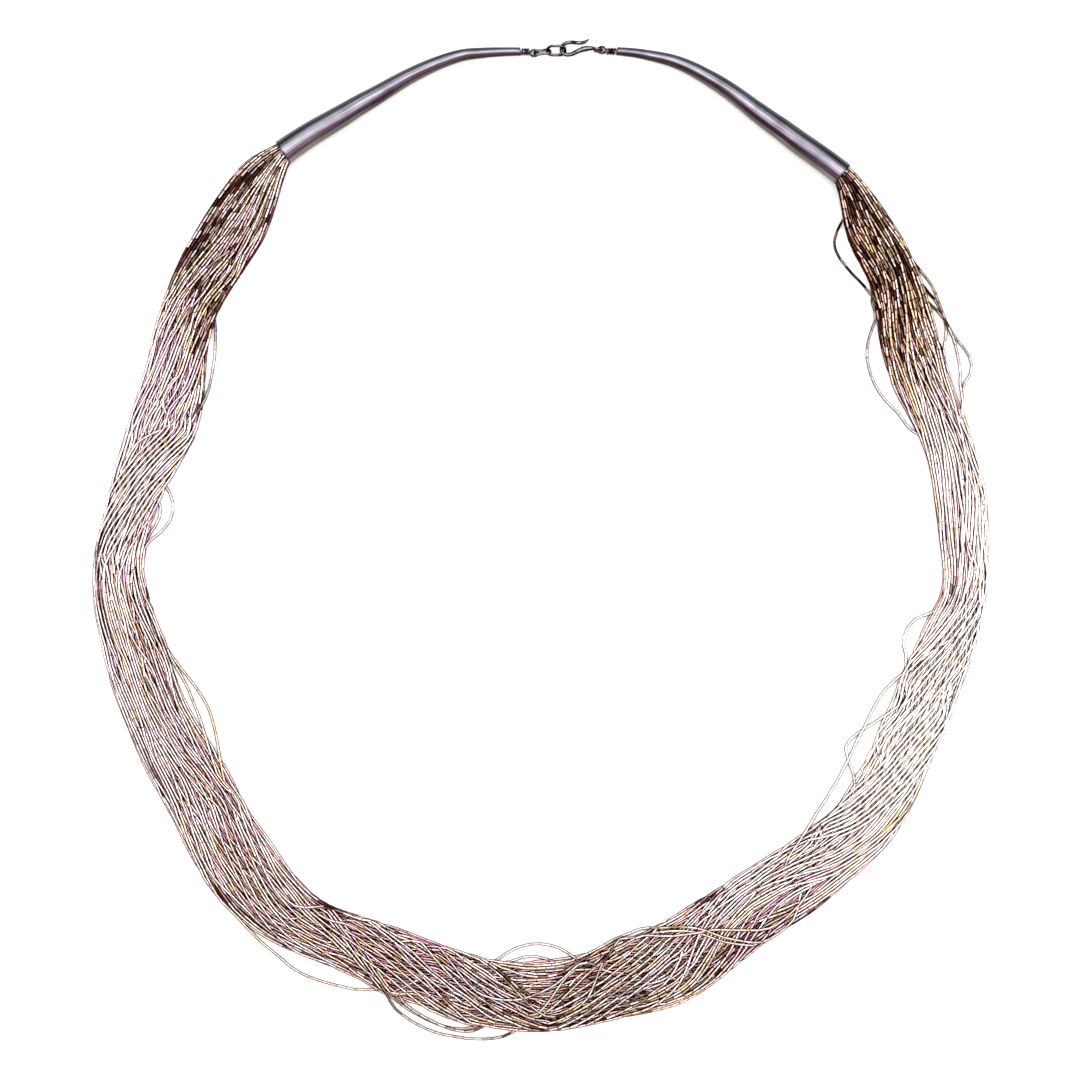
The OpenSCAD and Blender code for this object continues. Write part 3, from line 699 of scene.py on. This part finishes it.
def cone_material(settings):
    """Sterling silver sheet, raised and polished: long soft reflections, with painted bands of highlight
    and shade across each cone, and violet towards the tips.
    """
    # Planishing leaves broad shallow facets a few millimetres across, and polishing fine scratches,
    # drawn here as coarse as they need to show.
    material, tree, shader, cloud, facets, scratches = new_material(
        "polished_silver_sheet", 0.3, patterns=[(14, 4.0), (6, 1.5), (0.5, 3.0)])
    silver = add_node(tree, "ValToRGB", {"Fac": cloud, "steps": [
        (0.3, "#827D87"), (0.5, settings.silver), (0.7, "#949290")]})
    # Painted reflections and shade across each cone by how it faces: a painted highlight along its top,
    # on the side towards the loop a painted violet streak and then olive shade, on the other side grey
    # shade.
    sides = tint_by_facing(tree, "Y", [
        (0.02, "#7C7B6A"), (0.17, "#A19D88"), (0.28, "#BBA9AE"), (0.35, "#90688E"), (0.42, "#CFC4CE"),
        (0.5, "#FFFFFF"), (0.58, "#C4CACC"), (0.7, "#7F8688"), (0.86, "#6D7078"), (0.99, "#64666E")])
    # Brush marks run along each cone.
    place = add_node(tree, "Attribute", {"attribute_name": "brushed"})["Vector"]
    marks = add_node(tree, "TexNoise", {"Vector": place, "Scale": 1.0, "Detail": 3.0})
    brushed = add_node(tree, "ValToRGB", {
        "Fac": marks["Fac"], "steps": [(0.35, "#A9A5AD"), (0.55, "#FFFFFF")]})
    tone = add_node(tree, "VertexColor", {"layer_name": "tone"})
    finish_silver(tree, shader, silver["Color"], [
        (sides, 1.0), (brushed["Color"], 1.0), (tone["Color"], 1.0)],
        [(facets, 0.25, 0.25), (scratches, 0.08, 0.03)])
    return material


# Dents in the sheet: cone, angle, turn round the cone in degrees, depth and width in mm.
DENT_ROWS = [
    ("left_cone", 349.1, 70, 0.12, 1.6), ("left_cone", 351.5, 110, 0.08, 1.2),
    ("left_cone", 338, 100, 0.07, 2.6), ("right_cone", 24, 80, 0.07, 2.4),
    ("right_cone", 33, 110, 0.06, 2.8), ("right_cone", 13, 75, 0.06, 1.4),
]


def cone_corners(name, settings):
    """Rings of a cone's outside, tip, bore and mouth, on the CAD cone's sections, and their tones."""
    at, inner, outer, _low, _high = sections_of(name)
    wall = settings.wall / MM
    angles = np.linspace(at[0], at[-1], settings.cone_rings)
    if name == "right_cone":
        # From its mouth to its tip, as the left cone's already run.
        angles = angles[::-1]
    axis = smooth_table(angles, at, (inner + outer) / 2)
    radius = smooth_table(angles, at, (outer - inner) / 2)
    turn = turns(settings.cone_sides)
    skin = np.tile(radius[:, None], (1, len(turn)))
    for cone, angle, around, depth, width in DENT_ROWS:
        if cone == name:
            off_along = np.radians(angles - angle)[:, None] * axis[:, None]
            off_round = np.radians((np.degrees(turn) - around + 180) % 360 - 180) * radius[:, None]
            skin -= depth * np.exp(-(off_along ** 2 + off_round ** 2) / (width / 1.5) ** 2)

    def rings(indices, sizes):
        """A ring of each size at each of these angles."""
        r = axis[indices][:, None] + sizes * np.cos(turn)
        z = radius[indices][:, None] + sizes * np.sin(turn)
        return on_loop(angles[indices][:, None], r, z)

    mouth, tip = 0, len(angles) - 1
    outside = np.arange(len(angles))
    bore = outside[-2::-1]
    rim = 0.12
    corners = np.concatenate([
        rings(outside, skin),
        rings([tip, tip], np.array([[skin[tip].mean() - rim], [settings.wire_hole / MM]])),
        rings(bore, radius[bore, None] - wall),
        # The mouth's lip is filed round, so its rings stand a little out of the mouth.
        rings([mouth, mouth], radius[mouth] - wall * np.array([[0.75], [0.2]])) + unit(
            on_loop(angles[0], axis[0], radius[0]) - on_loop(angles[1], axis[1], radius[1])
        ) * wall * 0.3,
    ])
    tones = np.ones((len(corners), settings.cone_sides, 4))
    # Towards its tip, each cone's side towards the loop is violet and dark.
    near_tip = eased(np.linspace(-0.7, 1.3, len(outside)))[:, None, None]
    inner_side = eased(0.15 - 1.4 * np.cos(turn))[None, :, None]
    tones[outside] += 0.7 * near_tip * inner_side * (np.array(linear("#5C2A56")) - 1)
    # Painted shade inside the cone, from the tip's hole through the bore to the mouth's lip; the
    # outside's ring at the mouth is darker too.
    tones[len(outside):] = linear("#3A3236")
    tones[mouth] = linear("#6A6268")
    return corners.reshape(-1, 3), len(corners), tones.reshape(-1, 4)


class ConeSettings(bpy.types.PropertyGroup):
    wall: a_length("Wall", "Thickness of the silver sheet", 0.4)
    wire_hole: a_length("Wire hole", "Radius of the hole in a cone's tip", 0.5)
    cone_sides: bpy.props.IntProperty(
        name="Sides", description="Sides of a cone's mesh", default=72, min=32)
    cone_rings: bpy.props.IntProperty(
        name="Rings", description="Rings along a cone's mesh", default=110, min=40)
    silver: a_colour("Silver", "Polished silver sheet", "#BAB7BF")


class NECKLACE_OT_cones(bpy.types.Operator):
    """Raises the two hollow silver cones"""

    bl_idname = "necklace.cones"
    bl_label = "Raise the cones"

    def execute(self, context):
        settings = context.scene.necklace_cones
        material = cone_material(settings)
        for name in ("left_cone", "right_cone"):
            corners, rings, tones = cone_corners(name, settings)
            faces = ring_faces(rings, settings.cone_sides, True)
            if name == "right_cone":
                # Its rings run the other way round the loop.
                faces = [f[:, ::-1] for f in faces]
            cone = new_object("silver_" + name, corners, faces, material, tones)
            # Each corner's place along and round the cone, in the brush marks' lengths and widths.
            along, turn = np.meshgrid(
                np.linspace(0, 6, rings), turns(settings.cone_sides), indexing="ij")
            marks = np.stack([along, 4 * np.cos(turn), 4 * np.sin(turn)], -1)
            brushed = cone.data.attributes.new("brushed", "FLOAT_VECTOR", "POINT")
            brushed.data.foreach_set("vector", marks.ravel())
            placed(cone, "cone_silver", name)
        return {"FINISHED"}


# Clasp. Its places and lengths are in mm, and places are measured from the loop's middle.

# Each eye: the stem that a wrap takes, tilt, turn, where its wraps start, and its tone.
EYE_ROWS = [
    ("left_eye", 0.76, 30, 0, (-5.28, 147.69, 1.27), "#E6E2E8"),
    ("right_eye", 0.85, -30, 180, (22.72, 147.8, 1.25), "#FFE0C0"),
]
# Each link: half a straight side, an end's radius, tilt, turn, its middle, and its tone.
LINK_ROWS = [
    ("small_link", 1.4, 1.0, -45, 6, (0.9, 147.6, 1.25), "#FFF4EA"),
    ("oval_link", 1.08, 1.6, 42, 0, (5.05, 148, 1.53), "#E2DEE6"),
]
# The hook's bends from its tip to its eye: place, and thickness as a share of its wire's.
HOOK_ROWS = [
    (15, 151.7, 0.6, 0.2), (13.8, 150.8, 0.8, 0.8), (12, 150.4, 0.95, 1),
    (9.9, 150.6, 0.9, 1), (8.2, 150.4, 0.95, 1), (7, 149.6, 1.15, 1), (6.6, 148.4, 1.45, 1),
    (6.9, 147.3, 1.8, 1), (8, 146.65, 2.0, 1.05), (9.6, 146.8, 1.95, 1.15), (11.2, 147.6, 1.7, 1.25),
    (12.8, 148.3, 1.45, 1.4), (14.4, 148.65, 1.4, 1.4), (15.9, 148.6, 1.8, 1.1),
    (16.8, 148.4, 2.35, 0.8),
]


def wire_material(settings):
    """Silver wire, forged and darkened in the fire: painted shade on its sides under a bright top,
    with a golden cast in places.
    """
    material, tree, shader, blows = new_material("darkened_silver_wire", 0.24, patterns=[(1.5, 2.0)])
    silver = add_node(tree, "ValToRGB", {"Fac": blows, "steps": [
        (0.41, settings.dark_wire), (0.56, settings.bright_wire), (0.62, settings.bright_wire),
        (0.74, settings.golden_wire)]})
    # Painted shade: the wire's sides are painted dark by how far they face away from the lamps above.
    wear_and_painted_shade = tint_by_facing(tree, "Z", [
        (0.5, "#1E1A20"), (0.9, "#2A252B"), (0.955, "#3A353B"), (0.992, "#FFFFFF")])
    tone = add_node(tree, "VertexColor", {"layer_name": "tone"})
    finish_silver(tree, shader, silver["Color"], [
        (wear_and_painted_shade, tone["Alpha"]), (tone["Color"], 1.0)], [(blows, 0.3, 0.08)])
    return material


def turned(points, tilt, turn):
    """Points tilted about X and then turned about Z."""
    for degrees, axis in ((tilt, "X"), (turn, "Z")):
        points = points @ np.array(Matrix.Rotation(math.radians(degrees), 3, axis)).T
    return points


def eye_route(pitch, wraps):
    """A straight stem along X, a flat ring beyond it, then turns wrapped back round the stem."""
    # The ring's middle past the stem's end, its radius, and how far its end climbs to the wraps.
    ring_x, ring_y, ring_radius, lift = 1.45, -0.4, 1.05, 0.2
    # The wraps' radius, and how far the stem reaches into its cone.
    wrap_radius, inside = 0.76, 5
    end = pitch * wraps
    stem = np.linspace(-inside, end, 12)[:, None] * [1.0, 0, 0]
    a = np.arange(160, -141, -10)
    climb = lift * eased(np.maximum(0, -90 - a) / 50)
    a = np.radians(a)
    ring = np.stack([
        end + ring_x + ring_radius * np.cos(a), ring_y + ring_radius * np.sin(a), climb], -1)
    b = np.arange(150, 150 - 360 * wraps - 1, -15)
    along = end + (b - 150) / 360 * pitch
    b = np.radians(b)
    wrap = np.stack([along, wrap_radius * np.cos(b), wrap_radius * np.sin(b)], -1)
    return curve_through(np.vstack([stem, ring, wrap]), 2)


def link_route(half_straight, end_radius):
    """Once round an oval link."""
    a = np.radians(np.arange(-90, 91, 10))
    right = np.stack([half_straight + end_radius * np.cos(a), end_radius * np.sin(a), 0 * a], -1)
    return np.vstack([right, right * [-1, -1, 1]])


class ClaspSettings(bpy.types.PropertyGroup):
    eye_wire: a_length("Eye wire", "Diameter of the wrapped eyes' wire", 0.7)
    wrap_turns: bpy.props.IntProperty(
        name="Wraps", description="Turns of wire round each eye's stem", default=3, min=2, max=3)
    small_link_wire: a_length("Small link wire", "Diameter of the small link's wire", 0.75)
    oval_link_wire: a_length("Oval link wire", "Diameter of the oval link's wire", 0.85)
    hook_wire: a_length("Hook wire", "Diameter of the hook's wire at its bend", 1.1)
    dark_wire: a_colour("Dark wire", "Darkened silver in the hollows", "#28232A")
    bright_wire: a_colour("Bright wire", "Silver worn bright on the high spots", "#918D97")
    golden_wire: a_colour("Golden wire", "Silver with a yellow cast from the fire", "#B39A78")


class NECKLACE_OT_clasp(bpy.types.Operator):
    """Bends the two wrapped eyes and the two links"""

    bl_idname = "necklace.clasp"
    bl_label = "Bend the eyes and links"

    def execute(self, context):
        settings = context.scene.necklace_clasp
        material = wire_material(settings)
        sides = 14
        # The tone's alpha says how much painted shade the sides get: the eyes' wraps get less, as if
        # they caught a little more light.
        for name, pitch, tilt, turn, at, tone in EYE_ROWS:
            path = turned(eye_route(pitch, settings.wrap_turns), tilt, turn) + at
            wire_piece("wire_" + name, name, path, settings.eye_wire / MM / 2, sides, False, material,
                       linear(tone)[:3] + [0.7])
        for name, half_straight, end_radius, tilt, turn, at, tone in LINK_ROWS:
            path = turned(link_route(half_straight, end_radius), tilt, turn) + at
            radius = getattr(settings, name + "_wire") / MM / 2
            wire_piece("wire_" + name, name, path, radius, sides, True, material, linear(tone))
        return {"FINISHED"}


class NECKLACE_OT_hook(bpy.types.Operator):
    """Forges the hook with its flared pointed tip and closed eye"""

    bl_idname = "necklace.hook"
    bl_label = "Forge the hook"

    def execute(self, context):
        settings = context.scene.necklace_clasp
        # The eye's middle, radius, how far it spirals, and its thickness as a share of the wire's.
        (x, y, z), radius, lead, share = (17.7, 148.3, 1.48), 1.05, 0.4, 0.76
        a = np.arange(90, -171, -22.5)
        spiral = y - lead * (90 - a) / 260
        a = np.radians(a)
        eye = np.stack([x + radius * np.cos(a), spiral, z + radius * np.sin(a), share + 0 * a], -1)
        rows = curve_through(np.vstack([HOOK_ROWS, eye]), 5)
        radii = rows[:, 3] * settings.hook_wire / MM / 2
        material = bpy.data.materials["darkened_silver_wire"]
        wire_piece("forged_hook", "hook", rows[:, :3], radii, 16, False, material, linear("#F2EEF4"))
        return {"FINISHED"}


# Stage

# Lamps: name, place and size in metres, watts and colour. Each points at the origin.
LAMP_ROWS = [
    ("overhead_softbox", (0.1, 0.15, 1.3), (3.2, 2.6), 52, "#FFFDFB"),
    ("left_strip", (-1.3, 0.1, 0.75), (0.3, 1.6), 6, "#FFF2E6"),
    ("right_strip", (1.3, -0.1, 0.75), (0.3, 1.6), 6, "#F1EAFF"),
    ("front_strip", (0.0, -1.4, 0.6), (1.4, 0.3), 3, "#FFF6EC"),
    ("back_strip", (0.0, 1.7, 0.95), (1.8, 0.3), 6, "#F4F2FF"),
]


class StageSettings(bpy.types.PropertyGroup):
    floor_colour: a_colour("Floor", "Pale matt paper", "#FCFBFC")
    lens: bpy.props.FloatProperty(
        name="Lens", description="Focal length of the camera in mm", default=100.0)
    light_power: bpy.props.FloatProperty(
        name="Light", description="Share of the lamps' power", default=1.15)
    world_light: bpy.props.FloatProperty(
        name="Room light", description="Strength of the light from all round", default=0.2)


class NECKLACE_OT_stage(bpy.types.Operator):
    """Lays the pale floor and sets the lights and the camera"""

    bl_idname = "necklace.stage"
    bl_label = "Set the stage"

    def execute(self, context):
        settings = context.scene.necklace_stage
        # The paper lies just under the pieces.
        half, under = 2500.0, -0.05
        corners = [(x * half, y * half, under) for x, y in ((-1, -1), (1, -1), (1, 1), (-1, 1))]
        paper, _tree, shader = new_material("matt_paper", 0.9, 0.0)
        shader.inputs["Base Color"].default_value = [*settings.floor_colour, 1]
        shader.inputs["Specular IOR Level"].default_value = 0.2
        new_object("floor", corners, [np.array([[0, 1, 2, 3]])], paper)

        for name, place, size, watts, colour in LAMP_ROWS:
            lamp = bpy.data.lights.new(name, "AREA")
            lamp.shape = "RECTANGLE"
            lamp.size, lamp.size_y = size
            lamp.energy = watts * settings.light_power
            lamp.color = linear(colour)[:3]
            light = bpy.data.objects.new(name, lamp)
            light.location = place
            light.rotation_euler = Vector(place).to_track_quat("Z", "Y").to_euler()
            context.collection.objects.link(light)

        world = bpy.data.worlds.new("studio")
        world.use_nodes = True
        background = world.node_tree.nodes["Background"]
        background.inputs["Color"].default_value = linear("#E9E6EA")
        background.inputs["Strength"].default_value = settings.world_light
        context.scene.world = world
        context.scene.view_settings.view_transform = "Standard"

        camera = bpy.data.cameras.new("overhead_camera")
        camera.lens = settings.lens
        camera.sensor_width = 36
        camera.clip_start, camera.clip_end = 0.01, 20
        overhead = bpy.data.objects.new("overhead_camera", camera)
        # Straight above the middle of the image, which is half a pixel from the origin.
        across = IMAGE_PIXELS * MM_PER_PIXEL * MM
        aside = -MM_PER_PIXEL / 2 * MM
        overhead.location = (aside, aside, across * settings.lens / camera.sensor_width)
        context.collection.objects.link(overhead)
        context.scene.camera = overhead
        return {"FINISHED"}


class NECKLACE_PT_panel(bpy.types.Panel):
    """Lists the steps and their sizes and colours"""

    bl_label = "Necklace"
    bl_idname = "NECKLACE_PT_panel"
    bl_space_type = "VIEW_3D"
    bl_region_type = "UI"
    bl_category = "Necklace"

    def draw(self, context):
        for group, _kind, operators in STEPS:
            box = self.layout.box()
            settings = getattr(context.scene, group)
            for name in settings.__annotations__:
                box.prop(settings, name)
            for operator in operators:
                box.operator(operator.bl_idname)


# The scene's settings, their kind, and the operators that use them.
STEPS = [
    ("necklace_strands", StrandSettings, [NECKLACE_OT_strands]),
    ("necklace_cones", ConeSettings, [NECKLACE_OT_cones]),
    ("necklace_clasp", ClaspSettings, [NECKLACE_OT_clasp, NECKLACE_OT_hook]),
    ("necklace_stage", StageSettings, [NECKLACE_OT_stage]),
]
CLASSES = [made for _group, kind, operators in STEPS for made in (kind, *operators)]
CLASSES.append(NECKLACE_PT_panel)


def register():
    for made in CLASSES:
        bpy.utils.register_class(made)
    for name, kind, _operators in STEPS:
        setattr(bpy.types.Scene, name, bpy.props.PointerProperty(type=kind))


def unregister():
    for name, *_rest in STEPS:
        delattr(bpy.types.Scene, name)
    for made in reversed(CLASSES):
        bpy.utils.unregister_class(made)


def main():
    register()
    bpy.ops.necklace.stage()
    bpy.ops.necklace.cones()
    bpy.ops.necklace.clasp()
    bpy.ops.necklace.hook()
    bpy.ops.necklace.strands()


if __name__ == "__main__":
    main()
